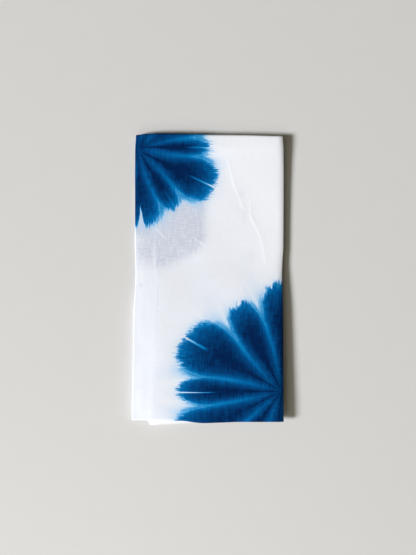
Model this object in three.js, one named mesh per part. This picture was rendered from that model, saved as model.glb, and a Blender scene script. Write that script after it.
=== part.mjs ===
// A tenugui hand towel: one plain-woven cotton cloth with a selvedge down each long side and a bare cut at
// each end. It lies folded: first in three across its width, which makes a long strip of three plies, and
// then in half and in half again, which makes a stack of four strip layers.
// Millimetres, +Z up. +Y runs along the folded towel and +X across it. The origin is on the surface that
// the towel lies on, under the middle of its outline.
import * as THREE from "three";
import { mergeVertices } from "three/addons/utils/BufferGeometryUtils.js";

// The cloth as it was woven and cut, and the width that it is folded to.
const CLOTH_WIDTH = 330;
const FOLDED_WIDTH = 115.5;
// The innermost third is narrower than the others, so its selvedge stops short of the left fold.
const SELVEDGE_SETBACK = 3 * FOLDED_WIDTH - CLOTH_WIDTH;

// A strip layer is three plies of cloth pressed into one sheet.
const STRIP_THICKNESS = 1.0;
const LAYERS = 4;
const LEAST_GAP = 0.3;

// The long sides, which are the folds of the strip: where they lie at each distance along the towel.
const LONG_SIDES = [
  { y: -114, left: -58.8, right: 59.3 },
  { y: -98, left: -58.8, right: 59.1 },
  { y: -79, left: -58.2, right: 59.1 },
  { y: -40, left: -57.9, right: 58.9 },
  { y: -26, left: -57.5, right: 58.8 },
  { y: -9, left: -56.4, right: 58.4 },
  { y: 3, left: -56.0, right: 58.2 },
  { y: 13, left: -56.2, right: 58.6 },
  { y: 24, left: -56.6, right: 59.3 },
  { y: 77, left: -56.6, right: 59.5 },
  { y: 100, left: -56.4, right: 59.3 },
  { y: 113, left: -55.8, right: 58.8 },
];

// How high the stack stands: the folds at both ends spring up, and the middle is pressed flat.
const STACK_HEIGHT = [
  { y: -114, height: 9.0 },
  { y: -104, height: 9.1 },
  { y: -80, height: 8.4 },
  { y: -48, height: 7.5 },
  { y: -22, height: 6.8 },
  { y: -4, height: 6.0 },
  { y: 16, height: 5.0 },
  { y: 36, height: 5.0 },
  { y: 66, height: 5.4 },
  { y: 90, height: 6.2 },
  { y: 108, height: 7.4 },
  { y: 113, height: 7.4 },
];

// The share of that spring that is left across the towel: it dies away where the strip has only two plies.
const SPRING_ACROSS = [
  { inset: 0, share: 0.72 },
  { inset: 8, share: 0.8 },
  { inset: SELVEDGE_SETBACK, share: 0.93 },
  { inset: SELVEDGE_SETBACK + 10, share: 0.98 },
  { inset: 60, share: 1.0 },
  { inset: 100, share: 1.0 },
  { inset: FOLDED_WIDTH, share: 0.94 },
];

// The short sides across the towel. The far fold wraps all four layers, the near fold joins the top two,
// and the cut ends of the two layers under it lie askew: their selvedge corner pokes out at the left.
const FAR_FOLD = [
  { x: -56, y: 111.6 },
  { x: -53, y: 111.9 },
  { x: -47, y: 112.6 },
  { x: -10, y: 112.1 },
  { x: 2, y: 111.6 },
  { x: 30, y: 111.3 },
  { x: 58, y: 110.7 },
];
const NEAR_FOLD = [
  { x: -59, y: -111.6 },
  { x: -45, y: -111.7 },
  { x: -20, y: -111.8 },
  { x: -10, y: -113.1 },
  { x: -3, y: -113.6 },
  { x: 10, y: -113.2 },
  { x: 25, y: -112.7 },
  { x: 58, y: -112.7 },
];
const SELVEDGE_X = -59 + 12.8;
const BOTTOM_CUT_END = [
  { x: -59, y: -109.8 },
  { x: SELVEDGE_X - 0.6, y: -110.4 },
  { x: SELVEDGE_X + 0.4, y: -115.5 },
  { x: -18, y: -114.3 },
  { x: 58, y: -109.0 },
];
const UPPER_CUT_END = [
  { x: -59, y: -108.4 },
  { x: SELVEDGE_X - 0.2, y: -109.0 },
  { x: SELVEDGE_X + 0.8, y: -112.6 },
  { x: 58, y: -107.4 },
];

// How far each layer's two long sides lie from the outline, counted from the bottom layer up.
const LAYER_STAGGER = [
  { left: 0.5, right: -0.5 },
  { left: 1.1, right: -0.2 },
  { left: 0.7, right: -0.6 },
  { left: 0.0, right: 0.0 },
];

// Places of the folds before they are shaped. The two wrapped layers turn back inside the far fold.
const FAR_END = 112;
const NEAR_END = -112;
const WRAP_REACH = 2.6;
const SMALL_FOLD_REACH = 1.4;
const FOLD_CLEARANCE = 0.5;
// An end's own shape fades out over this length of cloth.
const END_FADE = 30;

const RUN_SEGMENTS = 15;
const WRAP_SEGMENTS = 12;
const SMALL_FOLD_SEGMENTS = 8;

// Where the cloth is measured across, as distances from the left side. The first and the last two
// round off the long sides.
const SIDE_ROUNDING = 0.4;
const STATIONS = [
  0,
  SIDE_ROUNDING,
  5,
  10,
  SELVEDGE_SETBACK - 4.4,
  SELVEDGE_SETBACK - 3.2,
  22,
  34,
  42,
  50,
  58,
  74,
  92,
  106,
  FOLDED_WIDTH - SIDE_ROUNDING,
  FOLDED_WIDTH,
];
const SIDE_THINNING = 0.45;

// The value of one column of a table at a place, on a smooth curve through its rows.
function read(rows, placeColumn, valueColumn, place) {
  const last = rows.length - 1;
  const held = THREE.MathUtils.clamp(place, rows[0][placeColumn], rows[last][placeColumn]);
  let i = 0;
  while (i < last - 1 && held > rows[i + 1][placeColumn]) i += 1;
  const slope = (a, b) =>
    (rows[b][valueColumn] - rows[a][valueColumn]) / (rows[b][placeColumn] - rows[a][placeColumn]);
  const slopeAt = (k) => {
    if (k === 0 || k === last) return 0;
    const before = slope(k - 1, k);
    const after = slope(k, k + 1);
    return before * after > 0 ? (2 * before * after) / (before + after) : 0;
  };
  const width = rows[i + 1][placeColumn] - rows[i][placeColumn];
  const t = (held - rows[i][placeColumn]) / width;
  const t2 = t * t;
  const t3 = t2 * t;
  return (
    (2 * t3 - 3 * t2 + 1) * rows[i][valueColumn] +
    (t3 - 2 * t2 + t) * width * slopeAt(i) +
    (3 * t2 - 2 * t3) * rows[i + 1][valueColumn] +
    (t3 - t2) * width * slopeAt(i + 1)
  );
}

// In the plain section a sheet and the gap over it are both one unit high, so layer i lies from 2i to 2i + 1.
const bottomOf = (layer) => 2 * layer;
const topOf = (layer) => 2 * layer + 1;

// Points on a half turn around (y, level), from below it to above it or back, bulging towards side.
function halfTurn(y, level, reach, rise, side, segments, upwards) {
  const points = [];
  for (let k = 0; k <= segments; k += 1) {
    const turn = Math.PI * (k / segments - 0.5) * (upwards ? 1 : -1);
    points.push(new THREE.Vector2(y + side * reach * Math.cos(turn), level + rise * Math.sin(turn)));
  }
  return points;
}

// Points inside a straight run of a sheet's surface, without its two ends.
function run(fromY, toY, level) {
  const points = [];
  for (let k = 1; k < RUN_SEGMENTS; k += 1) {
    points.push(new THREE.Vector2(THREE.MathUtils.lerp(fromY, toY, k / RUN_SEGMENTS), level));
  }
  return points;
}

// The section along the towel: forth in the bottom layer, round the far fold, back in the top layer, round
// the near fold, forth in layer 2, round the wrapped fold, and back in layer 1. Its outline goes round the
// outer surface of the cloth, across the cut end of layer 1, and home along the inner surface.
function plainSection() {
  const sheet = topOf(0) - bottomOf(0);
  const gapReach = SMALL_FOLD_REACH - STRIP_THICKNESS;
  const wrapY = FAR_END - WRAP_REACH;
  const wrappedY = FAR_END - STRIP_THICKNESS - FOLD_CLEARANCE - SMALL_FOLD_REACH;
  const nearY = NEAR_END + SMALL_FOLD_REACH;
  const wrapMiddle = (bottomOf(0) + topOf(3)) / 2;
  const wrappedMiddle = (bottomOf(1) + topOf(2)) / 2;
  const nearMiddle = (bottomOf(2) + topOf(3)) / 2;
  const wrapRise = wrapMiddle - bottomOf(0);
  const smallRise = wrappedMiddle - bottomOf(1);
  const outer = [
    new THREE.Vector2(NEAR_END, bottomOf(0)),
    ...run(NEAR_END, wrapY, bottomOf(0)),
    ...halfTurn(wrapY, wrapMiddle, WRAP_REACH, wrapRise, 1, WRAP_SEGMENTS, true),
    ...run(wrapY, nearY, topOf(3)),
    ...halfTurn(nearY, nearMiddle, SMALL_FOLD_REACH, smallRise, -1, SMALL_FOLD_SEGMENTS, false),
    ...run(nearY, wrappedY, bottomOf(2)),
    ...halfTurn(wrappedY, wrappedMiddle, gapReach, smallRise - sheet, 1, SMALL_FOLD_SEGMENTS, false),
    ...run(wrappedY, NEAR_END, topOf(1)),
    new THREE.Vector2(NEAR_END, topOf(1)),
  ];
  const inner = [
    new THREE.Vector2(NEAR_END, bottomOf(1)),
    ...run(NEAR_END, wrappedY, bottomOf(1)),
    ...halfTurn(wrappedY, wrappedMiddle, SMALL_FOLD_REACH, smallRise, 1, SMALL_FOLD_SEGMENTS, true),
    ...run(wrappedY, nearY, topOf(2)),
    ...halfTurn(nearY, nearMiddle, gapReach, smallRise - sheet, -1, SMALL_FOLD_SEGMENTS, true),
    ...run(nearY, wrapY, bottomOf(3)),
    ...halfTurn(
      wrapY,
      wrapMiddle,
      WRAP_REACH - STRIP_THICKNESS,
      wrapRise - sheet,
      1,
      WRAP_SEGMENTS,
      false,
    ),
    ...run(wrapY, NEAR_END, topOf(0)),
    new THREE.Vector2(NEAR_END, topOf(0)),
  ];
  return new THREE.Shape([...outer, ...inner]);
}

// How far a place near one end of the towel moves so that the end follows its own line.
function endShift(y, level, x) {
  const far = THREE.MathUtils.smoothstep(y, FAR_END - END_FADE, FAR_END - WRAP_REACH);
  const near = THREE.MathUtils.smoothstep(-y, -NEAR_END - END_FADE, -NEAR_END - SMALL_FOLD_REACH);
  let nearLine = NEAR_FOLD;
  if (level <= topOf(1)) nearLine = UPPER_CUT_END;
  if (level <= topOf(0)) nearLine = BOTTOM_CUT_END;
  return far * (read(FAR_FOLD, "x", "y", x) - FAR_END) + near * (read(nearLine, "x", "y", x) - NEAR_END);
}

// The real height of a place in the plain section, where a sheet has the strip's thickness, thinned at the
// rounded sides, and the gaps share out the stack's spring.
function heightAt(level, y, inset) {
  const spring = read(STACK_HEIGHT, "y", "height", y) - LAYERS * STRIP_THICKNESS;
  const share = read(SPRING_ACROSS, "inset", "share", inset);
  const gap = Math.max(LEAST_GAP, (spring * share) / (LAYERS - 1));
  const fromSide = Math.min(inset, FOLDED_WIDTH - inset);
  const thinning = SIDE_THINNING * (1 - THREE.MathUtils.clamp(fromSide / SIDE_ROUNDING, 0, 1));
  const layer = Math.min(Math.floor(level / 2), LAYERS - 1);
  const within = level - bottomOf(layer);
  const foot = layer * (STRIP_THICKNESS + gap);
  const low = foot + (STRIP_THICKNESS * thinning) / 2;
  const high = foot + STRIP_THICKNESS * (1 - thinning / 2);
  if (within <= 1) return THREE.MathUtils.lerp(low, high, within);
  return THREE.MathUtils.lerp(high, low + STRIP_THICKNESS + gap, within - 1);
}

// The place across the towel at a distance from its left side, for a layer at that level.
function acrossAt(inset, y, level) {
  const lower = Math.min(Math.floor(level / 2), LAYERS - 2);
  const blend = THREE.MathUtils.clamp(level - topOf(lower), 0, 1);
  const stagger = (side) =>
    THREE.MathUtils.lerp(LAYER_STAGGER[lower][side], LAYER_STAGGER[lower + 1][side], blend);
  const left = read(LONG_SIDES, "y", "left", y) + stagger("left");
  const right = read(LONG_SIDES, "y", "right", y) + stagger("right");
  return THREE.MathUtils.lerp(left, right, inset / FOLDED_WIDTH);
}

// The folded cloth: the plain section drawn out across the towel, with each point then taken to its place.
function foldedCloth() {
  const steps = STATIONS.length - 1;
  const drawn = new THREE.ExtrudeGeometry(plainSection(), { depth: steps, steps, bevelEnabled: false });
  drawn.deleteAttribute("normal");
  drawn.deleteAttribute("uv");
  const cloth = mergeVertices(drawn, 1e-4);
  const places = cloth.attributes.position;
  for (let k = 0; k < places.count; k += 1) {
    const plainY = places.getX(k);
    const level = places.getY(k);
    const inset = STATIONS[Math.round(places.getZ(k))];
    const x = acrossAt(inset, plainY, level);
    const y = plainY + endShift(plainY, level, x);
    places.setXYZ(k, x, y, heightAt(level, y, inset));
  }
  cloth.computeBoundingBox();
  const middle = cloth.boundingBox.getCenter(new THREE.Vector3());
  cloth.translate(-middle.x, -middle.y, 0);
  cloth.computeVertexNormals();
  return cloth;
}

const dyedCotton = new THREE.MeshStandardMaterial({ color: 0xe9ebf3, roughness: 0.9, metalness: 0 });

const towel = new THREE.Group();
const cloth = new THREE.Mesh(foldedCloth(), dyedCotton);
cloth.name = "tenugui_cloth";
towel.add(cloth);

export default towel;
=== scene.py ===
"""A tenugui hand towel, folded in three across and twice in half along, on a plain pale table.

The towel is one sheet of cloth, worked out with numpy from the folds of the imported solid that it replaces.
Lengths in the tables are millimetres, counted from the middle of the towel's top face.
"""
import math

import bpy
import numpy as np
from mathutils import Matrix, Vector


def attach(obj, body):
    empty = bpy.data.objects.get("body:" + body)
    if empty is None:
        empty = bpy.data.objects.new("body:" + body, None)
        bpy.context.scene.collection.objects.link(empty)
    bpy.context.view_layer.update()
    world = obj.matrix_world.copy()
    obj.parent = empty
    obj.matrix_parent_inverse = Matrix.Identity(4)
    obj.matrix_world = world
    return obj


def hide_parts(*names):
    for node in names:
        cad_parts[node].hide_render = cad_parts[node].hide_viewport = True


bl_info = {
    "name": "Folded Tenugui Towel",
    "version": (1, 0, 0),
    "blender": (4, 5, 0),
    "location": "View3D > Sidebar > Tenugui",
    "description": "Builds an indigo dyed cotton hand towel, folded for a shelf",
    "category": "Add Mesh",
}

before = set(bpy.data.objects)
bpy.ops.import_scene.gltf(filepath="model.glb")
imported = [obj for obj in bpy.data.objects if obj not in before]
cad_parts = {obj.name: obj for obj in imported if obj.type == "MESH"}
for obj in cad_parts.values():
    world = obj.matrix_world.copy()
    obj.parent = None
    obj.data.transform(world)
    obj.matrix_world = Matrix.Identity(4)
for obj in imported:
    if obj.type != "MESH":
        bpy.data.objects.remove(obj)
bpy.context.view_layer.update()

MM = 0.001
# Where the tables' origin lies in the frame, and how far the picture's middle lies to its right.
FRAME_SHIFT = (-0.348, 1.450)
PICTURE_SHIFT = 0.35

# The picture's height in pixels, and how much of the towel's top face one of them shows.
PICTURE_ROWS = 555
PIXEL = 0.78
TOP_FACE_HEIGHT = 7.0
LENS = 85.0
SENSOR_WIDTH = 36.0

# The strip is the cloth folded in three across. Four layers of it lie on each other.
STRIP_WIDTH = 115.5
SELVEDGE_SETBACK = 16.5
STRIP_THICKNESS = 1.0
LAYERS = 4
LEAST_GAP = 0.3

# Where the folds along the towel lie, before the ends are shaped.
FAR_END = 112.0
NEAR_END = -112.0
WRAP_REACH = 2.6
SMALL_FOLD_REACH = 1.4
FOLD_CLEARANCE = 0.5
FAR_FOLD_SQUARENESS = 0.42
END_FADE = 30.0

# The long folds of a strip reach this many ply pitches, and the lowest third stops short of the right side.
LEFT_FOLD_REACH = 1.25
RIGHT_FOLD_REACH = 0.8
LOWEST_SETBACK = 1.2

# Points across each hidden ply and each long fold, and faces along each hidden layer and round each cross
# fold. The top ply and the top layer have theirs in the sizes.
COLUMNS = {"lowest": 16, "left_fold": 8, "right_fold": 7, "tucked": 14}
ROWS = {"bottom": 28, "inner": 26, "far_fold": 16, "near_fold": 10, "wrapped_fold": 9}

# The right side is rolled: the sheets sink towards the fold by a share of their height above the lowest one.
ROLL_SHARE = 0.15
ROLL_WIDTH = 4.2
ROLL_POWER = 2.2

# The lines that the long sides follow, the stack's height along and across, the lines of the folded and the
# cut ends, and how far each layer's sides are moved, from the lowest layer up.
LONG_SIDES = {
    "y": (-114, -98, -79, -40, -26, -9, 3, 13, 24, 77, 100, 113),
    "left": (-58.8, -58.8, -58.2, -57.9, -57.5, -56.4, -56.0, -56.2, -56.6, -56.6, -56.4, -55.8),
    "right": (59.3, 59.1, 59.1, 58.9, 58.8, 58.4, 58.2, 58.6, 59.3, 59.5, 59.3, 58.8),
}
STACK_HEIGHT = {
    "y": (-114, -104, -80, -48, -22, -4, 16, 36, 66, 90, 108, 113),
    "height": (9.0, 9.1, 8.4, 7.5, 6.8, 6.0, 5.0, 5.0, 5.4, 6.2, 7.4, 7.4),
}
SPRING_ACROSS = {
    "inset": (0, 8, 16.5, 26.5, 60, 100, 115.5),
    "share": (0.72, 0.8, 0.93, 0.98, 1.0, 1.0, 0.94),
}
FAR_FOLD = {
    "x": (-56, -53, -47, -10, 2, 30, 58),
    "y": (111.6, 111.9, 112.6, 112.1, 111.6, 111.3, 110.7),
}
NEAR_FOLD = {
    "x": (-59, -45, -20, -10, -3, 10, 25, 58),
    "y": (-111.6, -111.7, -111.8, -113.1, -113.6, -113.2, -112.7, -112.7),
}
BOTTOM_CUT_END = {"x": (-59, -46.8, -45.8, -18, 58), "y": (-109.8, -110.4, -115.5, -114.3, -109.0)}
UPPER_CUT_END = {"x": (-59, -46.4, -45.4, 58), "y": (-108.4, -109.0, -112.6, -107.4)}
LAYER_STAGGER = {"left": (0.5, 1.1, 0.7, 0.0), "right": (-0.5, -0.2, -0.6, 0.0)}

# The selvedge of the third tucked under from the right, as it shows through the top ply. The strip is thinner
# by a share outside it, where two plies lie and not three.
HIDDEN_SELVEDGE = {"y": (-114, -52, -10, 30, 60, 113), "inset": (14.2, 16.4, 18.2, 15.2, 14.6, 14.0)}
TWO_PLY_THINNING = 0.42
TWO_PLY_FADE = (-1.6, 1.2)

# The top ply lies this far above the stack, and its relief fades out towards each fold over a stretch counted
# inwards from it. A crease falls off over this many half widths on its left side.
SLACK = 0.16
RELIEF_FADE = {"near": (1, 12), "far": (3, 12), "side": (0, 8)}
LEFT_WIDTHS = 3.2

# Sharp creases left by older folds: each row is one straight stretch of a ridge.
WHITE_CREASES = (
    {"x": (15.6, 20.3), "y": (90.9, 73.7), "height": 0.07, "half_width": 0.55},
    {"x": (20.3, 27.3), "y": (73.7, 55.0), "height": 0.06, "half_width": 0.55},
    {"x": (32.8, 33.5), "y": (60.5, 47.2), "height": 0.05, "half_width": 0.55},
    {"x": (33.5, 40.6), "y": (47.2, 33.2), "height": 0.08, "half_width": 0.6},
    {"x": (40.6, 45.2), "y": (33.2, 11.5), "height": 0.06, "half_width": 0.55},
)
PATCH_CREASES = (
    {"x": (-39.8, -32.0), "y": (37.8, 30.0), "height": 0.03, "half_width": 0.55},
    {"x": (-11.7, -1.6), "y": (31.6, 24.6), "height": 0.03, "half_width": 0.55},
    {"x": (-41.4, -41.2), "y": (25.3, 11.0), "height": 0.02, "half_width": 0.5},
)
CREASES = WHITE_CREASES + PATCH_CREASES

# The broad grey patch beside the left flower: the stretch over which each of its sides fades, and a place on
# its slanting foot with the foot's rise for each millimetre across. Creases thin the grey, and so does the
# strip of two plies outside the selvedge, most of all on the fold, but not where the dye's rim lies.
PATCH = {"right": (-9.0, 5.0), "foot": (1.0, 20.0), "top": (58.0, 72.0), "slant": (-9.0, 9.0)}
PATCH_FOOT = {"x": -2.0, "y": 28.0, "rise": 0.74}
PATCH_CREASE = {"share": 0.5, "width": 0.9}
PATCH_TWO_PLY = {
    "share": 0.38, "selvedge": (-2.5, 0.5),
    "fold_share": 0.3, "fold": (0.5, 4.0),
    "top": (30.0, 42.0),
}

# Small faint patches, with the width and length of each.
FAINT_SPOTS = (
    {"x": 27.3, "y": 66.0, "width": 3.0, "length": 5.0, "strength": 0.14},
    {"x": 29.0, "y": 49.0, "width": 3.5, "length": 5.0, "strength": 0.13},
    {"x": 34.5, "y": 17.5, "width": 5.0, "length": 5.0, "strength": 0.16},
    {"x": -53.8, "y": -60.5, "width": 4.0, "length": 8.0, "strength": 0.08},
    {"x": -53.8, "y": -84.0, "width": 3.5, "length": 7.0, "strength": 0.08},
    {"x": -51.9, "y": -5.9, "width": 1.4, "length": 1.4, "strength": 0.40},
)
SELVEDGE_SPOT = {"y": -7.0, "length": 30.0, "width": 0.9, "strength": 0.30, "elsewhere": 0.4}
# Painted shade: the whole lower left is a little greyer than the upper right. A broad spot at the middle is a
# little greyer too.
LEFT_PAINTED_SHADE = {"strength": 0.24, "by_y": 0.5, "fade": (0.0, 90.0)}
MIDDLE_GREY = {"x": -10.0, "y": -20.0, "width": 38.0, "length": 18.0, "strength": 0.04}

# The dye comes as half flowers on the two long folds, mirrored across the fold they sit on. Their middles
# lie a little inside the folds. Angles are in degrees, anticlockwise from the towel's +X, and widening is in
# degrees for each millimetre outwards. A petal's first number lifts its own middle, then come the columns.
# The flowers repeat along the cloth, and the map is wrapped from the lowest place on.
LEFT_FLOWER = {"fold": -57.75, "inside": 2.45, "y": 99.0, "side": 1.0}
RIGHT_FLOWER = {"fold": 57.75, "inside": 1.45, "y": -88.5, "side": -1.0}
FLOWER_REPEAT = 374.4
FLOWER_LOWEST = -180.0
PETAL_COLUMNS = (
    "axis", "half_width", "widening", "reach", "seam_reach", "shoulder", "lean", "core",
    "cleft_at", "cleft_from", "cleft_width", "cleft_growth", "cleft_depth",
)
LEFT_PETALS = (
    (0.0, -87.7, 10.0, 0.220, 60.0, 48.5, 0.05, 0.0, 0.60, -87.7, 39.0, 2.0, 1.8, 1.0),
    (0.0, -57.5, 19.5, -0.200, 53.5, 48.5, 0.30, 0.0, 1.00, -56.8, 35.0, 0.25, 0.3, 0.22),
    (0.0, -25.5, 14.5, 0.120, 65.5, 49.5, 0.24, 0.0, 1.00, -25.6, 42.0, 0.38, 0.25, 0.58),
    (2.3, 0.2, 13.9, -0.125, 56.0, 50.5, 0.35, 0.0, 1.05, 0.2, 35.5, 0.28, 0.3, 0.50),
    (0.0, 34.0, 14.5, 0.120, 65.0, 50.0, 0.40, 0.0, 0.35, 34.6, 43.0, 0.45, 0.3, 0.70),
    (0.0, 64.0, 19.5, -0.200, 54.0, 48.5, 0.30, 0.0, 0.15, 64.0, 35.0, 0.25, 0.3, 0.30),
    (0.0, 94.0, 10.0, 0.220, 60.0, 48.5, 0.05, 0.0, 0.15, 94.0, 40.0, 1.2, 2.0, 0.80),
    (0.0, 182.0, 85.0, 0.0, 60.0, 50.0, 0.40, 0.0, 0.20, 182.0, 50.0, 0.3, 0.3, 0.00),
)
RIGHT_PETALS = (
    (0.0, 89.5, 9.5, 0.085, 85.5, 61.0, 0.05, 0.0, 0.80, 95.0, 79.0, 0.6, 0.4, 0.90),
    (0.0, 116.4, 21.0, -0.145, 76.5, 61.0, 0.40, 0.0, 1.00, 118.6, 71.0, 0.5, 1.0, 0.80),
    (0.0, 149.6, 11.8, 0.135, 86.0, 61.5, 0.20, 3.5, 0.85, 150.4, 63.0, 0.44, -0.25, 0.62),
    (0.0, 179.8, 14.2, -0.045, 80.5, 60.5, 0.0, 0.0, 0.85, 180.8, 47.0, 0.24, 1.4, 1.00),
    (0.0, 207.5, 11.5, 0.090, 86.0, 61.5, 0.40, 0.0, 0.62, 209.0, 66.0, 0.55, 0.3, 0.75),
    (0.0, 235.0, 15.4, -0.060, 78.0, 61.0, 0.30, 0.0, 0.85, 236.0, 66.0, 0.4, 0.4, 0.60),
    (0.0, 264.0, 13.6, 0.110, 86.0, 61.0, 0.40, 0.0, 0.80, 264.0, 66.0, 0.5, 0.3, 0.75),
    (0.0, 0.0, 82.0, 0.0, 86.0, 61.0, 0.40, 0.0, 0.60, 0.0, 70.0, 0.3, 0.3, 0.00),
)

# How dye changes smoothly within a petal: two places, and the values there. "across" is nought on the
# petal's axis and one at its seams, "share" is a part of the reach, and "opened" is nought where the cleft
# starts and one at the rim. All other places are millimetres, to the rim, past the seam or outwards.
FADES = {
    "jag across": (0.6, 1.0, 1.0, 0.35),
    "softness across": (0.20, 1.0, 3.8, 11.0),
    "rim by softness": (-1.0, 0.9, 0.0, 1.0),
    "haze length across": (0.5, 1.0, 0.0, 1.0),
    "haze across": (0.5, 1.0, 0.055, 0.28),
    "seam to rim": (0.0, 14.0, 1.35, 1.0),
    "core width by share": (0.15, 0.75, 0.24, 0.72),
    "core by share": (0.0, 0.28, 0.5, 1.0),
    "core to rim by share": (1.0, 0.60, 0.0, 1.0),
    "cleft by opened": (0.0, 0.3, 0.0, 1.0),
    "cleft to rim by opened": (0.3, 1.0, 1.0, 1.5),
    "overlap": (-1.8, 0.8, 0.0, 1.0),
    "middle": (1.0, 14.0, 1.18, 1.0),
    "overlap outwards": (5.0, 30.0, 3.4, 1.2),
}
SHOULDER_POWER = 2.4
RIM = {"power": 1.7, "paler": 0.54, "paler_within": 7.5}
HAZE_LENGTH = {"axis": 2.6, "by_reach": 0.19, "plus": -8.4}
SEAM_WIDTH = {"by_radius": 0.033, "plus": 0.9}
SEAM = {"power": 1.25, "from": 3.0, "to": 50.0, "least": 0.10, "by_reach": 0.0046, "plus": 0.170}
BODY = 0.88
CORE = 0.34
CLEFT = {"blur": 0.7, "blur_by_width": 0.8, "inside": 0.35}

# How far single threads and slow lumps move a rim and a point, and how squarely a rim has to face along or
# across the cloth before the threads that run that way fray it.
FRAY_REACH = 16.0
LUMP_REACH = 6.0
LUMP_SHIFT = 1.8
FACING = (0.55, 0.95)
LUMPS = {"per_mm": 0.20, "detail": 3.0, "rough": 0.6}

# Uneven threads: how fast their noise changes across and along the cloth for each millimetre.
THREADS = {
    "Warp": {"across": 1.25, "along": 0.080, "seed": 0.0, "rough": 0.65},
    "Weft": {"across": 0.090, "along": 1.25, "seed": 7.0, "rough": 0.6},
    "Fray Across": {"across": 0.12, "along": 1.15, "seed": 3.0, "rough": 0.75},
    "Fray Along": {"across": 1.15, "along": 0.12, "seed": 5.0, "rough": 0.75},
}
THREAD_DETAIL = 3.0
THREAD_ROUNDING = 0.2

# How much the dye is uneven by warp, weft and lumps, and how much threads lighten white cotton. The creases
# lighten it too, as a painted highlight along each ridge.
UNEVEN = {"warp": 0.65, "weft": 0.28, "lumps": 0.35}
PATCH_MESH = -2.6
WHITE = {"plain": 0.99, "threads": 0.08, "creases": 0.07}
STAIN = {"full_from": 0.12, "power": 0.9}
WEAVE_RELIEF = {"threads": 0.9, "strength": 0.5, "height": 0.10}

# The table reaches this far each way, in metres. The key light is a disc that shines towards the right side,
# a little away from the viewer, and the fill light is a weak one near the viewer.
TABLE_HALF = 4.0
TABLE_MOTTLE = {"scale": 60.0, "detail": 4.0, "rough": 0.6, "share": 0.03, "least": 0.985}
KEY_ACROSS = 0.964
KEY_ALONG = 0.265
KEY_ELEVATION = math.radians(33.0)
KEY_COLOUR = (0.985, 0.98, 1.0)
FILL_PLACE = Vector((-0.25, -0.55, 0.5))
FILL_SIZE = 0.4
FILL_COLOUR = (1.0, 0.995, 0.915)
ROOM_COLOUR = (1.0, 0.867, 0.565, 1)


def length(name, description, default):
    """A length property, in metres."""
    return bpy.props.FloatProperty(name=name, description=description, default=default, min=0, unit="LENGTH")


def colour(name, description, default):
    """A colour property."""
    return bpy.props.FloatVectorProperty(
        name=name, description=description, default=default, subtype="COLOR", min=0, max=1
    )


class TenuguiSizes(bpy.types.PropertyGroup):
    """Sizes of the cloth and of the sheet that stands for it"""

    cloth_width: length("Cloth Width", "Width of the cloth from selvedge to selvedge", 0.33)
    cloth_length: length("Cloth Length", "Length of the cloth from cut end to cut end", 0.90)
    cloth_thickness: length("Cloth Thickness", "Thickness of one ply", 0.00026)
    ply_pitch: length("Ply Pitch", "Distance from one ply to the next in a strip", 0.00036)
    thread_pitch: length("Thread Pitch", "Distance from one thread to the next", 0.00048)
    top_columns: bpy.props.IntProperty(
        name="Top Columns", description="Faces across the top ply", default=92, min=20
    )
    top_rows: bpy.props.IntProperty(
        name="Top Rows", description="Faces along the top layer", default=178, min=40
    )


class TenuguiColours(bpy.types.PropertyGroup):
    """Colours of the cotton, the dye and the table"""

    cotton: colour("Cotton", "Bleached cotton", (0.820, 0.850, 0.912))
    # The same grey also stands for painted shade on the lower left of the top ply.
    show_through_and_shade: colour("Show Through", "Cotton with dyed plies under it", (0.545, 0.59, 0.70))
    dye_pale: colour("Pale Dye", "Dye at a feathered rim", (0.36, 0.58, 0.83))
    dye_light: colour("Light Dye", "Dye on a rim", (0.10, 0.38, 0.70))
    dye_bright: colour("Bright Dye", "Dye just inside a rim", (0.003, 0.200, 0.49))
    dye_seam: colour("Seam Dye", "Dye along a seam between petals", (0.0, 0.118, 0.352))
    dye_body: colour("Body Dye", "Dye over most of a petal", (0.0, 0.050, 0.182))
    dye_core: colour("Core Dye", "Dye where it is strongest", (0.0, 0.0135, 0.070))
    table: colour("Table", "The table under the towel", (0.590, 0.592, 0.587))


class TenuguiLight(bpy.types.PropertyGroup):
    """The studio light and the camera"""

    key_power: bpy.props.FloatProperty(
        name="Key Power", description="Power of the key light", default=2380.0, min=0, unit="POWER"
    )
    key_distance: length("Key Distance", "Distance of the key light", 12.0)
    key_size: length("Key Size", "Width of the key light's disc", 3.6)
    fill_power: bpy.props.FloatProperty(
        name="Fill Power", description="Power of the weak light near the viewer",
        default=1.08, min=0, unit="POWER",
    )
    room_light: bpy.props.FloatProperty(
        name="Room Light", description="Strength of the even light around the table", default=0.136, min=0
    )


def read(places, values, at):
    """Values at places between a table's rows, on a cubic through the rows whose slope at a row is the
    harmonic mean of the slopes before and after it, or nought at a turn and at both ends."""
    places = np.asarray(places, float)
    values = np.asarray(values, float)
    at = np.clip(at, places[0], places[-1])
    widths = np.diff(places)
    slopes = np.diff(values) / widths
    before, after = slopes[:-1], slopes[1:]
    same_way = before * after > 0
    total = np.where(same_way, before + after, 1.0)
    middle = np.where(same_way, 2 * before * after / total, 0.0)
    row_slopes = np.concatenate(([0.0], middle, [0.0]))
    i = np.clip(np.searchsorted(places, at, side="left") - 1, 0, len(widths) - 1)
    t = (at - places[i]) / widths[i]
    return (
        (2 * t**3 - 3 * t**2 + 1) * values[i]
        + (t**3 - 2 * t**2 + t) * widths[i] * row_slopes[i]
        + (3 * t**2 - 2 * t**3) * values[i + 1]
        + (t**3 - t**2) * widths[i] * row_slopes[i + 1]
    )


def smoothstep(at, low, high):
    """Nought below low, one above high, and 3t^2 - 2t^3 between, where t is the share of the way."""
    t = np.clip((at - low) / (high - low), 0, 1)
    return t * t * (3 - 2 * t)


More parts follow.
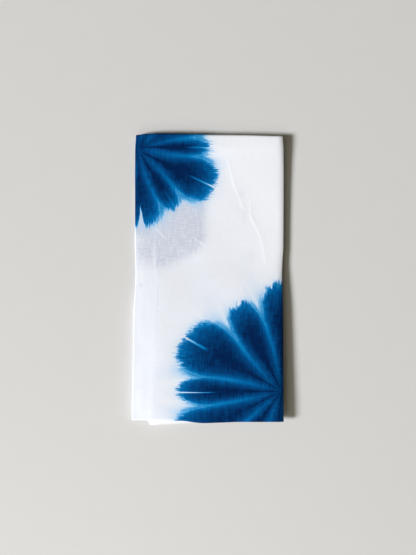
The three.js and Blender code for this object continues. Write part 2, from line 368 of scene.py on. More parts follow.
def columns_across(sizes):
    """The cloth across: the lowest third from its selvedge to the left fold, the fold, the top third, the
    right fold, and the tucked third to its selvedge. Each column has its distance from the left side, its
    ply's offset from the strip's middle sheet, outwards, and whether it belongs to the tucked third. A fold
    is a half turn."""
    pitch = sizes.ply_pitch / MM
    left_reach = LEFT_FOLD_REACH * pitch
    right_reach = RIGHT_FOLD_REACH * pitch
    turn_left = np.linspace(-0.5, 0.5, COLUMNS["left_fold"]) * math.pi
    turn_right = np.linspace(0.5, -0.5, COLUMNS["right_fold"]) * math.pi
    lowest = np.linspace(STRIP_WIDTH - LOWEST_SETBACK, left_reach, COLUMNS["lowest"])[:-1]
    top = np.linspace(left_reach, STRIP_WIDTH - right_reach, sizes.top_columns + 1)[1:-1]
    tucked = np.linspace(STRIP_WIDTH - right_reach, SELVEDGE_SETBACK, COLUMNS["tucked"])[1:]
    inset = np.concatenate((
        lowest,
        left_reach * (1 - np.cos(turn_left)),
        top,
        STRIP_WIDTH - right_reach * (1 - np.cos(turn_right)),
        tucked,
    ))
    offset = np.concatenate((
        np.full(lowest.size, -pitch),
        pitch * np.sin(turn_left),
        np.full(top.size, pitch),
        pitch / 2 * (1 + np.sin(turn_right)),
        np.zeros(tucked.size),
    ))
    is_tucked = np.arange(inset.size) >= inset.size - tucked.size
    return inset, offset, is_tucked


def half_turn(y, lower, upper, reach, side, count, upwards, squareness=1.0):
    """A half turn of a fold between two levels: y + side*reach*cos(a) and level + rise*sin(a), with a from
    one quarter turn to the other and both terms raised to the power of squareness. The outward direction of
    the sheet is (side*cos(a), sin(a))."""
    level = (lower + upper) / 2
    rise = (upper - lower) / 2
    a = np.linspace(-0.5, 0.5, count + 1)[1:-1] * math.pi * (1 if upwards else -1)
    forward = np.cos(a) ** squareness
    upward = np.sign(np.sin(a)) * np.abs(np.sin(a)) ** squareness
    return y + side * reach * forward, level + rise * upward, side * np.cos(a), np.sin(a)


def rows_along(sizes):
    """The strip's middle sheet along the towel: forth in the bottom layer, round the far fold, back in the
    top layer, round the near fold, forth in the third layer, round the wrapped fold and back in the second.
    Each row has its place and level in the plain section, where a sheet and a gap are both one unit high, the
    direction of the strip's outer face there, and whether it is in the top layer."""
    bottom, second, third, top = (2 * layer + 0.5 for layer in range(LAYERS))
    half_sheet = STRIP_THICKNESS / 2
    small_reach = SMALL_FOLD_REACH - half_sheet
    wrap_y = FAR_END - WRAP_REACH
    wrapped_y = FAR_END - STRIP_THICKNESS - FOLD_CLEARANCE - SMALL_FOLD_REACH
    near_y = NEAR_END + SMALL_FOLD_REACH

    def run(from_y, to_y, level, outward, count):
        y = np.linspace(from_y, to_y, count + 1)
        return y, np.full(y.size, level), np.zeros(y.size), np.full(y.size, outward)

    wrapped = half_turn(wrapped_y, second, third, small_reach, 1, ROWS["wrapped_fold"], False)
    top_run = run(wrap_y, near_y, top, 1.0, sizes.top_rows)
    pieces = (
        run(NEAR_END, wrap_y, bottom, -1.0, ROWS["bottom"]),
        half_turn(
            wrap_y, bottom, top, WRAP_REACH - half_sheet, 1, ROWS["far_fold"], True, FAR_FOLD_SQUARENESS
        ),
        top_run,
        half_turn(near_y, third, top, small_reach, -1, ROWS["near_fold"], False),
        run(near_y, wrapped_y, third, -1.0, ROWS["inner"]),
        (wrapped[0], wrapped[1], -wrapped[2], -wrapped[3]),
        run(wrapped_y, NEAR_END, second, 1.0, ROWS["inner"]),
    )
    y, level, out_y, out_level = (np.concatenate(part) for part in zip(*pieces))
    on_top = np.concatenate([np.full(piece[0].size, piece is top_run) for piece in pieces])
    return y, level, out_y, out_level, on_top


def end_shift(y, level, x):
    """How far a place moves along the towel so that the end near it follows its own line: the line's distance
    from the plain end, times a share that grows from nought to one over the last stretch of the strip."""
    far = smoothstep(y, FAR_END - END_FADE, FAR_END - WRAP_REACH)
    near = smoothstep(-y, -NEAR_END - END_FADE, -NEAR_END - SMALL_FOLD_REACH)
    over_bottom_sheet = 1.2
    over_second_sheet = 3.2
    near_line = np.where(
        level > over_second_sheet,
        read(NEAR_FOLD["x"], NEAR_FOLD["y"], x),
        np.where(
            level > over_bottom_sheet,
            read(UPPER_CUT_END["x"], UPPER_CUT_END["y"], x),
            read(BOTTOM_CUT_END["x"], BOTTOM_CUT_END["y"], x),
        ),
    )
    far_line = read(FAR_FOLD["x"], FAR_FOLD["y"], x)
    return far * (far_line - FAR_END) + near * (near_line - NEAR_END)


def height_at(level, y, inset):
    """The real height of a level: sheets are one thickness high, and the gaps share out what the stack's
    height leaves, times the share that is left of it across the towel."""
    spring = read(STACK_HEIGHT["y"], STACK_HEIGHT["height"], y) - LAYERS * STRIP_THICKNESS
    share = read(SPRING_ACROSS["inset"], SPRING_ACROSS["share"], inset)
    gap = np.maximum(LEAST_GAP, spring * share / (LAYERS - 1))
    layer = np.clip(np.floor(level / 2), 0, LAYERS - 1)
    within = level - 2 * layer
    return (
        layer * (STRIP_THICKNESS + gap)
        + STRIP_THICKNESS * np.clip(within, None, 1)
        + gap * np.clip(within - 1, 0, None)
    )


def across_at(inset, y, level):
    """The place across the towel: the share of the way from the left side's line to the right side's line,
    each moved by its layer's stagger, which blends from layer to layer in the gaps."""
    lower = np.clip(np.floor(level / 2), 0, LAYERS - 2).astype(int)
    blend = np.clip(level - 2 * lower - 1, 0, 1)

    def side(name):
        stagger = np.asarray(LAYER_STAGGER[name])
        line = read(LONG_SIDES["y"], LONG_SIDES[name], y)
        return line + stagger[lower] * (1 - blend) + stagger[lower + 1] * blend

    left = side("left")
    return left + (side("right") - left) * inset / STRIP_WIDTH


def from_segment(x, y, ends_x, ends_y):
    """Distance of each place from a straight line between two ends, and whether it lies on the line's left
    side for someone who walks along it."""
    along_x, along_y = ends_x[1] - ends_x[0], ends_y[1] - ends_y[0]
    t = ((x - ends_x[0]) * along_x + (y - ends_y[0]) * along_y) / (along_x**2 + along_y**2)
    t = np.clip(t, 0, 1)
    left = (y - ends_y[0]) * along_x - (x - ends_x[0]) * along_y > 0
    return np.hypot(x - ends_x[0] - t * along_x, y - ends_y[0] - t * along_y), left


def bell(at, width):
    """A bell curve: one at nought, falling off over the width."""
    return np.exp(-((at / width) ** 2))


def top_relief(x, y):
    """What the top ply adds to its height: slow swells and a few creases, each a ridge along a straight line
    with a bell curve for its profile, which falls off more slowly on its left side."""
    swell = (
        0.10 * np.sin(x / 13.0 + 1.3 * np.sin(y / 31.0))
        + 0.08 * np.sin(y / 17.0 + 0.8 * np.sin(x / 19.0) + 1.1)
        + 0.05 * np.sin((x + y) / 8.5)
    )
    creases = 0
    for row in CREASES:
        away, left = from_segment(x, y, row["x"], row["y"])
        creases = creases + row["height"] * bell(away, row["half_width"] * np.where(left, LEFT_WIDTHS, 1.0))
    return SLACK + swell + creases


def cloth_sheet(sizes):
    """The folded cloth as a grid: each column's ply offset is added to each row's sheet along the direction
    of the strip's outer face, and the level, place along and place across are then taken to the real shape.
    With it come the map in metres of cloth and the grey on the top ply, part dye that shows through and part
    painted shade."""
    inset, offset, is_tucked = columns_across(sizes)
    y0, level0, out_y, out_level, on_top = rows_along(sizes)
    pitch = sizes.ply_pitch / MM
    in_top = np.isclose(offset, pitch)

    selvedge = read(HIDDEN_SELVEDGE["y"], HIDDEN_SELVEDGE["inset"], y0)[:, None]
    stretch = (STRIP_WIDTH - selvedge) / (STRIP_WIDTH - SELVEDGE_SETBACK)
    inset_here = np.where(is_tucked, STRIP_WIDTH - (STRIP_WIDTH - inset) * stretch, inset)
    two_ply = 1 - smoothstep(inset_here - selvedge, *TWO_PLY_FADE)
    ply = offset * (1 - TWO_PLY_THINNING * two_ply)

    y = y0[:, None] + ply * out_y[:, None]
    level = level0[:, None] + ply * out_level[:, None]
    x = across_at(inset_here, y, level)
    y = y + end_shift(y, level, x)
    z = height_at(level, y, inset_here)

    rolled = np.clip(1 - (STRIP_WIDTH - inset_here) / ROLL_WIDTH, 0, None) ** ROLL_POWER
    z = z - ROLL_SHARE * np.clip(z - STRIP_THICKNESS, 0, None) * rolled
    top_ply = on_top[:, None] * in_top
    fade = smoothstep(y - NEAR_END, *RELIEF_FADE["near"]) * smoothstep(FAR_END - y, *RELIEF_FADE["far"])
    for from_side in (inset_here, STRIP_WIDTH - inset_here):
        fade = fade * smoothstep(from_side, *RELIEF_FADE["side"])
    z = z + top_ply * fade * top_relief(x, y)

    points = np.stack((x, y, z), axis=-1)
    flat = cloth_map(points, inset, offset, in_top, on_top)
    under_dye_and_shade = show_through_and_shade(x, y, inset_here, selvedge) * top_ply
    return points + np.array((*FRAME_SHIFT, 0.0)), flat, under_dye_and_shade


def cloth_map(points, inset, offset, in_top, on_top):
    """Where each point lies on the flat cloth, counted from the middle of the top face: along by the lengths
    of the sheet's middle column, and across by the lengths between the columns."""
    top_columns = np.flatnonzero(in_top)
    middle = top_columns[np.argmin(np.abs(inset[top_columns] - STRIP_WIDTH / 2))]
    steps = np.linalg.norm(np.diff(points[:, middle], axis=0), axis=-1)
    along = np.concatenate(([0.0], np.cumsum(steps)))
    map_y = FAR_END - WRAP_REACH - (along - along[np.argmax(on_top)])
    widths = np.hypot(np.diff(inset), np.diff(offset))
    across = np.concatenate(([0.0], np.cumsum(widths)))
    map_x = inset[top_columns[0]] - STRIP_WIDTH / 2 + across - across[top_columns[0]]
    return np.stack(np.broadcast_arrays(map_x[None, :], map_y[:, None]), axis=-1)


def show_through_and_shade(x, y, inset, selvedge):
    """How grey the top ply is: what lies under it greys it as a broad patch of dye under the left flower and
    a few small faint spots; a faint line follows the tucked third's selvedge, a broad spot at the middle is
    greyer, and painted shade leaves the lower left greyer than the upper right."""
    foot = PATCH_FOOT["y"] + PATCH_FOOT["rise"] * (x - PATCH_FOOT["x"])
    patch = (
        (1 - smoothstep(x, *PATCH["right"]))
        * smoothstep(y, *PATCH["foot"])
        * (1 - smoothstep(y, *PATCH["top"]))
        * smoothstep(y - foot, *PATCH["slant"])
    )
    for row in PATCH_CREASES:
        away, _ = from_segment(x, y, row["x"], row["y"])
        patch = patch * (1 - PATCH_CREASE["share"] * bell(away, PATCH_CREASE["width"]))
    two_ply = PATCH_TWO_PLY["share"] * (1 - smoothstep(inset - selvedge, *PATCH_TWO_PLY["selvedge"]))
    two_ply = two_ply + PATCH_TWO_PLY["fold_share"] * (1 - smoothstep(inset, *PATCH_TWO_PLY["fold"]))
    patch = patch * (1 - two_ply * (1 - smoothstep(y, *PATCH_TWO_PLY["top"])))
    mottle = 0.85 + 0.15 * np.sin(x / 5.0 + 2 * np.sin(y / 9.0)) * np.sin(y / 6.5 + 1.0)

    spots = sum(
        spot["strength"] * bell(x - spot["x"], spot["width"]) * bell(y - spot["y"], spot["length"])
        for spot in (*FAINT_SPOTS, MIDDLE_GREY)
    )
    least = SELVEDGE_SPOT["elsewhere"]
    edge = least + (1 - least) * bell(y - SELVEDGE_SPOT["y"], SELVEDGE_SPOT["length"])
    edge = edge * SELVEDGE_SPOT["strength"] * bell(inset - selvedge, SELVEDGE_SPOT["width"])
    # Painted shade: the top ply a little greyer towards the lower left.
    grey = LEFT_PAINTED_SHADE["strength"] * (1 - smoothstep(x + LEFT_PAINTED_SHADE["by_y"] * y, *LEFT_PAINTED_SHADE["fade"]))
    return np.clip(patch * mottle + grey + spots + edge, 0, 1)


def mesh_from_grid(name, points, flat, under_dye_and_shade):
    """A mesh of four-sided faces over a grid of points in millimetres, with the map and the attribute."""
    rows, columns = points.shape[:2]
    index = np.arange(rows * columns).reshape(rows, columns)
    corners = (index[:-1, :-1], index[:-1, 1:], index[1:, 1:], index[1:, :-1])
    faces = np.stack(corners, axis=-1).reshape(-1, 4)
    mesh = bpy.data.meshes.new(name)
    mesh.vertices.add(rows * columns)
    mesh.vertices.foreach_set("co", (points * MM).astype(np.float32).ravel())
    mesh.loops.add(faces.size)
    mesh.loops.foreach_set("vertex_index", faces.astype(np.int32).ravel())
    mesh.polygons.add(len(faces))
    mesh.polygons.foreach_set("loop_start", np.arange(0, faces.size, 4, dtype=np.int32))
    mesh.update(calc_edges=True)
    mesh.polygons.foreach_set("use_smooth", np.ones(len(faces), dtype=bool))
    layer = mesh.uv_layers.new(name="cloth_metres")
    layer.uv.foreach_set("vector", (flat.reshape(-1, 2)[faces.ravel()] * MM).astype(np.float32).ravel())
    tint = mesh.attributes.new("under_dye_and_shade", "FLOAT", "POINT")
    tint.data.foreach_set("value", under_dye_and_shade.astype(np.float32).ravel())
    mesh.validate()
    return mesh


class Board:
    """Puts nodes into a tree one after the other, in rows, and hands back their outputs."""

    in_a_row = 12
    step = (180, -220)

    def __init__(self, tree):
        self.tree = tree
        self.count = 0

    def put(self, kind, values=(), output=0, **settings):
        """Adds a node, sets its properties, and sets or links its inputs by name or number."""
        node = self.tree.nodes.new(kind)
        row, column = divmod(self.count, self.in_a_row)
        node.location = (self.step[0] * column, self.step[1] * row)
        self.count += 1
        for name, value in settings.items():
            setattr(node, name, value)
        pairs = values.items() if isinstance(values, dict) else enumerate(values)
        for key, value in pairs:
            if isinstance(value, bpy.types.NodeSocket):
                self.tree.links.new(value, node.inputs[key])
            else:
                node.inputs[key].default_value = value
        return node.outputs[output]

    def apply(self, operation, *values):
        """A Math node."""
        return self.put("ShaderNodeMath", values, operation=operation)

    def plus(self, first, second):
        """The sum of two values."""
        return self.apply("ADD", first, second)

    def minus(self, first, second):
        """The first value less the second."""
        return self.apply("SUBTRACT", first, second)

    def times(self, first, *others):
        """The product of values."""
        for other in others:
            first = self.apply("MULTIPLY", first, other)
        return first

    def over(self, first, second):
        """The first value divided by the second."""
        return self.apply("DIVIDE", first, second)

    def times_plus(self, first, second, more):
        """The product of two values, with a third added."""
        return self.apply("MULTIPLY_ADD", first, second, more)

    def limited(self, value):
        """A value kept between nought and one, by two Math nodes, because their own clamp overfills the
        renderer's stack when there are many petals."""
        return self.apply("MINIMUM", self.apply("MAXIMUM", value, 0.0), 1.0)

    def mix(self, share, low, high):
        """A colour that goes from low to high by a share. A colour is three numbers or a socket, and colours
        are the seventh and eighth inputs of a Mix node and its third output."""
        ends = [end if isinstance(end, bpy.types.NodeSocket) else (*end, 1) for end in (low, high)]
        return self.put("ShaderNodeMix", {0: share, 6: ends[0], 7: ends[1]}, 2, data_type="RGBA")

    def ease(self, value, low, high, to_low=0.0, to_high=1.0):
        """A Map Range node with a smooth step, which needs no clamp of its own."""
        numbers = (value, low, high, to_low, to_high)
        return self.put("ShaderNodeMapRange", numbers, interpolation_type="SMOOTHSTEP", clamp=False)

    def noise(self, vector, scale, detail, rough):
        """A Noise Texture's value."""
        values = {"Vector": vector, "Scale": scale, "Detail": detail, "Roughness": rough}
        return self.put("ShaderNodeTexNoise", values)

    def at(self, x, y, z=0.0):
        """A vector from three values."""
        return self.put("ShaderNodeCombineXYZ", (x, y, z))

    def group(self, tree, values):
        """A node that places a group with its values, and hands back its first output."""
        return self.put("ShaderNodeGroup", values, node_tree=tree)

    def finish(self, results):
        """The group's outputs, by name."""
        end = self.tree.nodes.new("NodeGroupOutput")
        for label, socket in results.items():
            self.tree.links.new(socket, end.inputs[label])
        return self.tree


def new_group(name, inputs, outputs):
    """A shader node group with named float inputs and outputs. Returns its board and the inputs by name."""
    group = bpy.data.node_groups.new(name, "ShaderNodeTree")
    for label in inputs:
        group.interface.new_socket(label, in_out="INPUT", socket_type="NodeSocketFloat")
    for label in outputs:
        group.interface.new_socket(label, in_out="OUTPUT", socket_type="NodeSocketFloat")
    board = Board(group)
    start = board.put("NodeGroupInput").node
    return board, {label: start.outputs[label] for label in inputs}


def turned_from(board, angle, axis):
    """The turn from an axis in degrees to an angle, at most half a turn either way."""
    turn = board.minus(angle, board.apply("RADIANS", axis))
    return board.apply("WRAP", turn, math.pi, -math.pi)


def depth_in_petal(board, given, sided, n):
    """How far a point lies inside the rim. The rim is at reach, leans to one side, falls to seam_reach past
    the shoulder, and is ragged by Jag, less so at the seams."""
    past = board.minus(n, given["shoulder"])
    past = board.limited(board.over(past, board.minus(1.0, given["shoulder"])))
    fall = board.minus(given["reach"], given["seam_reach"])
    rim = board.times(board.apply("POWER", past, SHOULDER_POWER), fall)
    rim = board.minus(board.times_plus(sided, given["lean"], given["reach"]), rim)
    jag = board.times(given["Jag"], board.ease(n, *FADES["jag across"]))
    return board.minus(board.plus(rim, jag), given["Radius"])


def dye_by_rim(board, given, n, to_rim):
    """The body's dye, which starts at the rim, softly, and is paler just inside it, and the haze outside."""
    softness = board.ease(n, *FADES["softness across"])
    edge = board.ease(board.over(to_rim, softness), *FADES["rim by softness"])
    edge = board.apply("POWER", edge, RIM["power"])
    on_axis = HAZE_LENGTH["axis"]
    length = board.times_plus(given["reach"], HAZE_LENGTH["by_reach"], HAZE_LENGTH["plus"])
    to_seams = board.ease(n, *FADES["haze length across"])
    length = board.times_plus(to_seams, board.minus(length, on_axis), on_axis)
    haze = board.apply("EXPONENT", board.apply("MINIMUM", board.over(to_rim, length), 0.0))
    haze = board.times(haze, board.ease(n, *FADES["haze across"]))
    inside = board.over(board.apply("MAXIMUM", to_rim, 0.0), -RIM["paler_within"])
    paler = board.times_plus(board.apply("EXPONENT", inside), -RIM["paler"], BODY)
    return board.times(edge, paler), haze


def beside_seam(board, given, to_seam, to_rim):
    """What is left of the dye beside a seam: less the nearer the seam, and the further out."""
    seam = board.over(board.apply("MAXIMUM", to_seam, 0.0), given["Seam Width"])
    seam = board.apply("EXPONENT", board.times(board.apply("POWER", seam, SEAM["power"]), -1.0))
    most = board.times_plus(given["reach"], SEAM["by_reach"], SEAM["plus"])
    seam = board.times(
        seam,
        board.ease(given["Radius"], SEAM["from"], SEAM["to"], SEAM["least"], most),
        board.ease(to_rim, *FADES["seam to rim"]),
    )
    return board.minus(1.0, seam)


def by_core(board, given, n):
    """How much stronger the dye is along the axis, over a width that grows outwards."""
    share = board.over(given["Radius"], given["reach"])
    away = board.over(n, board.ease(share, *FADES["core width by share"]))
    core = board.times(
        board.apply("EXPONENT", board.times(board.times(away, away), -1.0)),
        board.ease(share, *FADES["core by share"]),
        board.ease(share, *FADES["core to rim by share"]),
        given["core"],
    )
    return board.times_plus(core, CORE, BODY)


def beside_cleft(board, given):
    """What is left of the dye in the cleft: a slit from cleft_from outwards that widens and deepens."""
    sideways = board.times(turned_from(board, given["Angle"], given["cleft_at"]), given["Radius"])
    sideways = board.apply("ABSOLUTE", sideways)
    opened = board.minus(given["Radius"], given["cleft_from"])
    length = board.minus(given["reach"], given["cleft_from"])
    opened = board.limited(board.over(opened, length))
    slit = board.times(board.apply("POWER", opened, given["cleft_growth"]), given["cleft_width"])
    blurred = board.times_plus(slit, -CLEFT["blur_by_width"], -CLEFT["blur"])
    slit = board.times(
        board.ease(board.minus(slit, sideways), blurred, CLEFT["inside"]),
        given["cleft_depth"],
        board.ease(opened, *FADES["cleft by opened"]),
        board.ease(opened, *FADES["cleft to rim by opened"]),
    )
    return board.minus(1.0, slit)


def petal_group():
    """One petal of dye. Across it, n is nought on its axis and one at the seams, whose angle widens outwards.
    The dye is weaker at the rim, the seams and the cleft, and strongest along the axis. It is added to what
    came before as the stronger of the two."""
    labels = ("Before", "Radius", "Angle", "Jag", "Middle", "Seam Width", "Overlap", *PETAL_COLUMNS)
    board, given = new_group("dye petal", labels, ("Dye",))
    widening = board.times(given["widening"], given["Radius"])
    half = board.apply("RADIANS", board.plus(given["half_width"], widening))
    sided = board.over(turned_from(board, given["Angle"], given["axis"]), half)
    n = board.apply("ABSOLUTE", sided)
    to_seam = board.times(board.minus(1.0, n), half, given["Radius"])
    to_rim = depth_in_petal(board, given, sided, n)
    body, haze = dye_by_rim(board, given, n, to_rim)
    body = board.times(
        body,
        beside_seam(board, given, to_seam, to_rim),
        by_core(board, given, n),
        given["Middle"],
        beside_cleft(board, given),
    )
    overlap = board.plus(to_seam, given["Overlap"])
    dye = board.times(board.apply("MAXIMUM", body, haze), board.ease(overlap, *FADES["overlap"]))
    return board.finish({"Dye": board.apply("MAXIMUM", given["Before"], dye)})


def weave_group():
    """Plain weave: where a warp thread lies over, the height is the arch of the warp, and else the arch of
    the weft. Overs and unders change like a chequer. Warp and Weft are the uneven strength of the threads,
    long along them, and the two frays are the reach of single threads."""
    board, given = new_group("plain weave", ("Across", "Along", "Pitch"), ("Height", *THREADS))
    across, along = given["Across"], given["Along"]
    warp = board.apply("SINE", board.times(board.over(across, given["Pitch"]), math.pi))
    weft = board.apply("SINE", board.times(board.over(along, given["Pitch"]), math.pi))
    over = board.ease(board.times(warp, weft), -THREAD_ROUNDING, THREAD_ROUNDING)
    warp = board.apply("ABSOLUTE", warp)
    weft = board.apply("ABSOLUTE", weft)
    results = {"Height": board.times_plus(over, board.minus(warp, weft), weft)}
    for label, row in THREADS.items():
        by_across = board.times(across, row["across"])
        by_along = board.times(along, row["along"])
        noise = board.noise(board.at(by_across, by_along, row["seed"]), 1.0, THREAD_DETAIL, row["rough"])
        results[label] = board.minus(noise, 0.5)
    return board.finish(results)


def crease_group():
    """One straight stretch of a crease: one on its line, falling off as a bell curve. It is added to what
    came before as the stronger of the two."""
    places = ("Across", "Along", "From Across", "From Along", "Step Across", "Step Along")
    board, given = new_group("crease stretch", ("Before", *places, "Half Width"), ("Crease",))
    dx = board.minus(given["Across"], given["From Across"])
    dy = board.minus(given["Along"], given["From Along"])
    step_x, step_y = given["Step Across"], given["Step Along"]
    done = board.times_plus(dx, step_x, board.times(dy, step_y))
    whole = board.times_plus(step_x, step_x, board.times(step_y, step_y))
    done = board.limited(board.over(done, whole))
    dx = board.minus(dx, board.times(done, step_x))
    dy = board.minus(dy, board.times(done, step_y))
    away = board.apply("SQRT", board.times_plus(dx, dx, board.times(dy, dy)))
    away = board.over(away, given["Half Width"])
    crease = board.apply("EXPONENT", board.times(board.times(away, away), -1.0))
    return board.finish({"Crease": board.apply("MAXIMUM", given["Before"], crease)})


def crease_lines(board, across, along):
    """All the creases, with their ends taken to the cloth's map."""
    stretch = crease_group()
    before = 0.0
    for row in CREASES:
        ends_y = np.asarray(row["y"], float)
        left, right = (read(LONG_SIDES["y"], LONG_SIDES[side], ends_y) for side in ("left", "right"))
        ends_x = ((np.asarray(row["x"]) - left) / (right - left) - 0.5) * STRIP_WIDTH
        values = {
            "Before": before, "Across": across, "Along": along,
            "From Across": float(ends_x[0]), "From Along": float(ends_y[0]),
            "Step Across": float(ends_x[1] - ends_x[0]), "Step Along": float(ends_y[1] - ends_y[0]),
            "Half Width": row["half_width"],
        }
        before = board.group(stretch, values)
    return before


def polar(board, x, y):
    """The radius and the angle of a point."""
    radius = board.apply("SQRT", board.times_plus(x, x, board.times(y, y)))
    return radius, board.apply("ARCTAN2", y, x)


def flower_dye(board, flower, petals, petal, across, along, frays, lumps, before):
    """A flower's dye. Its place is counted from its middle and mirrored across the fold that it sits on. The
    rims reach further along some threads than along others, across where the rim faces across."""
    from_fold = board.apply("ABSOLUTE", board.minus(across, flower["fold"]))
    dx = board.times(board.minus(from_fold, flower["inside"]), flower["side"])
    dy = board.minus(along, flower["y"])
    dx = board.times_plus(lumps, LUMP_SHIFT, dx)
    radius, angle = polar(board, dx, dy)
    facing_across = board.ease(board.apply("ABSOLUTE", board.over(dx, radius)), *FACING)
    facing_along = board.ease(board.apply("ABSOLUTE", board.over(dy, radius)), *FACING)
    along_fray = board.times(frays[1], facing_along)
    jag = board.times_plus(frays[0], facing_across, along_fray)
    jag = board.times_plus(jag, FRAY_REACH, board.times(lumps, LUMP_REACH))
    shared = {
        "Jag": jag,
        "Middle": board.ease(radius, *FADES["middle"]),
        "Seam Width": board.times_plus(radius, SEAM_WIDTH["by_radius"], SEAM_WIDTH["plus"]),
        "Overlap": board.ease(radius, *FADES["overlap outwards"]),
    }
    for base, *row in petals:
        from_base = polar(board, dx, board.minus(dy, base)) if base else (radius, angle)
        values = {"Before": before, "Radius": from_base[0], "Angle": from_base[1], **shared}
        values.update(zip(PETAL_COLUMNS, row))
        before = board.group(petal, values)
    return before


def principled(name, roughness, specular):
    """A new material, the board of its nodes, and its shader."""
    material = bpy.data.materials.new(name)
    material.use_nodes = True
    shader = next(node for node in material.node_tree.nodes if node.type == "BSDF_PRINCIPLED")
    shader.inputs["Roughness"].default_value = roughness
    shader.inputs["Specular IOR Level"].default_value = specular
    return material, Board(material.node_tree), shader


def dye_ramp(board, dye, colours):
    """The colour of the dye by its strength."""
    node = board.put("ShaderNodeValToRGB", (dye,)).node
    ramp = node.color_ramp
    ramp.interpolation = "LINEAR"
    stops = (
        (0.08, colours.dye_pale),
        (0.17, colours.dye_light),
        (0.30, colours.dye_bright),
        (0.50, colours.dye_seam),
        (0.74, colours.dye_body),
        (1.00, colours.dye_core),
    )
    for element, (place, tone) in zip(ramp.elements, (stops[0], stops[-1])):
        element.position = place
        element.color = (*tone, 1)
    for place, tone in stops[1:-1]:
        ramp.elements.new(place).color = (*tone, 1)
    return node.outputs["Color"]


def dyed_cotton(sizes, colours):
    """White plain-woven cotton with folded and clamped indigo flowers, read from the cloth's own map."""
    material, board, shader = principled("dyed_cotton", roughness=0.92, specular=0.04)
    flat = board.put("ShaderNodeUVMap", uv_map="cloth_metres")
    scaled = board.put("ShaderNodeVectorMath", {0: flat, "Scale": 1 / MM}, operation="SCALE")
    across, along, _ = board.put("ShaderNodeSeparateXYZ", (scaled,)).node.outputs
    weave = board.group(weave_group(), {"Across": across, "Along": along, "Pitch": sizes.thread_pitch / MM})
    height, warp, weft, *frays = weave.node.outputs

    lump_place = board.at(board.times(across, LUMPS["per_mm"]), board.times(along, LUMPS["per_mm"]))
    lumps = board.minus(board.noise(lump_place, 1.0, LUMPS["detail"], LUMPS["rough"]), 0.5)
    wrapped = board.apply("WRAP", along, FLOWER_LOWEST, FLOWER_LOWEST + FLOWER_REPEAT)
    petal = petal_group()
    dye = flower_dye(board, LEFT_FLOWER, LEFT_PETALS, petal, across, wrapped, frays, lumps, 0.0)
    dye = flower_dye(board, RIGHT_FLOWER, RIGHT_PETALS, petal, across, wrapped, frays, lumps, dye)
    uneven = board.times_plus(warp, UNEVEN["warp"], 1.0)
    uneven = board.times_plus(weft, UNEVEN["weft"], uneven)
    uneven = board.times_plus(lumps, UNEVEN["lumps"], uneven)
    dye = board.limited(board.times(dye, uneven))
    dye_colour = dye_ramp(board, dye, colours)

    # The grey on the top ply: dye showing through, and painted shade towards the lower left.
    under = board.put("ShaderNodeAttribute", output="Fac", attribute_name="under_dye_and_shade")
    threads = board.plus(warp, weft)
    seen = board.times(under, board.plus(*frays), PATCH_MESH)
    seen = board.limited(board.times_plus(seen, under, under))
    cotton = board.mix(seen, colours.cotton, colours.show_through_and_shade)
    crease = crease_lines(board, across, along)
    # Painted highlight: the creases lighten the cotton along their ridges, where they catch the light.
    shade = board.times_plus(crease, WHITE["creases"], WHITE["plain"])
    shade = board.times_plus(threads, WHITE["threads"], shade)
    cotton = board.put("ShaderNodeVectorMath", {0: cotton, "Scale": shade}, operation="SCALE")
    stained = board.limited(board.over(dye, STAIN["full_from"]))
    stained = board.apply("POWER", stained, STAIN["power"])
    board.tree.links.new(board.mix(stained, cotton, dye_colour), shader.inputs["Base Color"])

    relief = board.times_plus(threads, WEAVE_RELIEF["threads"], height)
    values = {"Height": relief, "Strength": WEAVE_RELIEF["strength"], "Distance": WEAVE_RELIEF["height"] * MM}
    board.tree.links.new(board.put("ShaderNodeBump", values, output="Normal"), shader.inputs["Normal"])
    return material


def table_paper(colours):
    """The plain pale table: one tone with a very faint mottle."""
    material, board, shader = principled("pale_table", roughness=0.9, specular=0.15)
    place = board.put("ShaderNodeTexCoord", output="Object")
    mottle = board.noise(place, TABLE_MOTTLE["scale"], TABLE_MOTTLE["detail"], TABLE_MOTTLE["rough"])
    shade = board.times_plus(mottle, TABLE_MOTTLE["share"], TABLE_MOTTLE["least"])
    tone = board.put("ShaderNodeRGB")
    tone.default_value = (*colours.table, 1)
    tone = board.put("ShaderNodeVectorMath", {0: tone, "Scale": shade}, operation="SCALE")
    board.tree.links.new(tone, shader.inputs["Base Color"])
    return material


class MESH_OT_tenugui_cloth(bpy.types.Operator):
    """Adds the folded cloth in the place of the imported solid"""

    bl_idname = "mesh.tenugui_cloth"
    bl_label = "Folded Cloth"

    def execute(self, context):
        sizes = context.scene.tenugui_sizes
        points, flat, under_dye_and_shade = cloth_sheet(sizes)
        mesh = mesh_from_grid("towel_cloth", points, flat, under_dye_and_shade)
        mesh.materials.append(dyed_cotton(sizes, context.scene.tenugui_colours))
        cloth = bpy.data.objects.new("towel_cloth", mesh)
        context.scene.collection.objects.link(cloth)
        body = cloth.modifiers.new("ply thickness", "SOLIDIFY")
        body.thickness = sizes.cloth_thickness
        body.offset = 0.0
        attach(cloth, "root")
        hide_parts("tenugui_cloth")
        return {"FINISHED"}


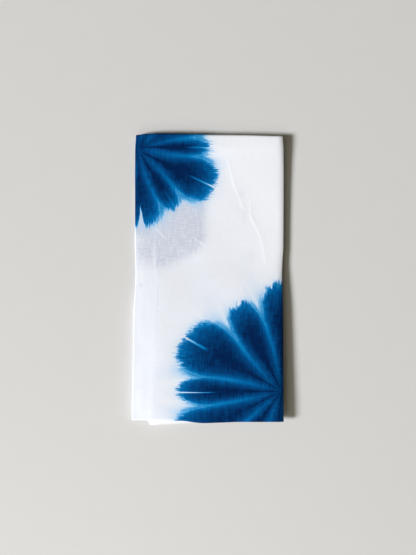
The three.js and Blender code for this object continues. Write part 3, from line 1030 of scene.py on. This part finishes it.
class SCENE_OT_tenugui_stage(bpy.types.Operator):
    """Adds the table, the studio light and the camera straight above"""

    bl_idname = "scene.tenugui_stage"
    bl_label = "Table, Light and Camera"

    def execute(self, context):
        scene = context.scene
        light = scene.tenugui_light
        corners = [(-TABLE_HALF, -TABLE_HALF, 0), (TABLE_HALF, -TABLE_HALF, 0)]
        corners += [(TABLE_HALF, TABLE_HALF, 0), (-TABLE_HALF, TABLE_HALF, 0)]
        mesh = bpy.data.meshes.new("table_top")
        mesh.from_pydata(corners, [], [(0, 1, 2, 3)])
        mesh.materials.append(table_paper(scene.tenugui_colours))
        table = bpy.data.objects.new("table_top", mesh)
        scene.collection.objects.link(table)

        travel = Vector((KEY_ACROSS, KEY_ALONG, -math.tan(KEY_ELEVATION))).normalized()
        key_place = -travel * light.key_distance
        for name, place, size, power, tone in (
            ("key_light", key_place, light.key_size, light.key_power, KEY_COLOUR),
            ("fill_light", FILL_PLACE, FILL_SIZE, light.fill_power, FILL_COLOUR),
        ):
            data = bpy.data.lights.new(name, "AREA")
            data.shape = "DISK"
            data.size = size
            data.energy = power
            data.color = tone
            lamp = bpy.data.objects.new(name, data)
            lamp.location = place
            lamp.rotation_euler = (-place).to_track_quat("-Z", "Y").to_euler()
            scene.collection.objects.link(lamp)

        world = bpy.data.worlds.new("room")
        world.use_nodes = True
        background = world.node_tree.nodes["Background"]
        background.inputs["Color"].default_value = ROOM_COLOUR
        background.inputs["Strength"].default_value = light.room_light
        scene.world = world

        camera_data = bpy.data.cameras.new("camera")
        camera_data.lens = LENS
        camera_data.sensor_width = SENSOR_WIDTH
        camera = bpy.data.objects.new("camera", camera_data)
        distance = PICTURE_ROWS * PIXEL * LENS / SENSOR_WIDTH
        place = Vector((FRAME_SHIFT[0] + PICTURE_SHIFT, FRAME_SHIFT[1], TOP_FACE_HEIGHT + distance))
        camera.location = place * MM
        scene.collection.objects.link(camera)
        scene.camera = camera
        scene.view_settings.view_transform = "Standard"
        return {"FINISHED"}


class VIEW3D_PT_tenugui(bpy.types.Panel):
    """Lists the sizes, the colours and the pieces"""

    bl_idname = "VIEW3D_PT_tenugui"
    bl_label = "Folded Tenugui Towel"
    bl_space_type = "VIEW_3D"
    bl_region_type = "UI"
    bl_category = "Tenugui"

    def draw(self, context):
        for name in SETTINGS:
            box = self.layout.box()
            group = getattr(context.scene, name)
            for field in group.__annotations__:
                box.prop(group, field)
        for operator in OPERATORS:
            self.layout.operator(operator.bl_idname)


SETTINGS = {"tenugui_sizes": TenuguiSizes, "tenugui_colours": TenuguiColours, "tenugui_light": TenuguiLight}
OPERATORS = (MESH_OT_tenugui_cloth, SCENE_OT_tenugui_stage)
CLASSES = (*SETTINGS.values(), *OPERATORS, VIEW3D_PT_tenugui)


def register():
    for cls in CLASSES:
        bpy.utils.register_class(cls)
    for name, group in SETTINGS.items():
        setattr(bpy.types.Scene, name, bpy.props.PointerProperty(type=group))


def unregister():
    for name in SETTINGS:
        delattr(bpy.types.Scene, name)
    for cls in reversed(CLASSES):
        bpy.utils.unregister_class(cls)


def main():
    """Registers the add-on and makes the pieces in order."""
    register()
    bpy.ops.mesh.tenugui_cloth()
    bpy.ops.scene.tenugui_stage()


if __name__ == "__main__":
    main()
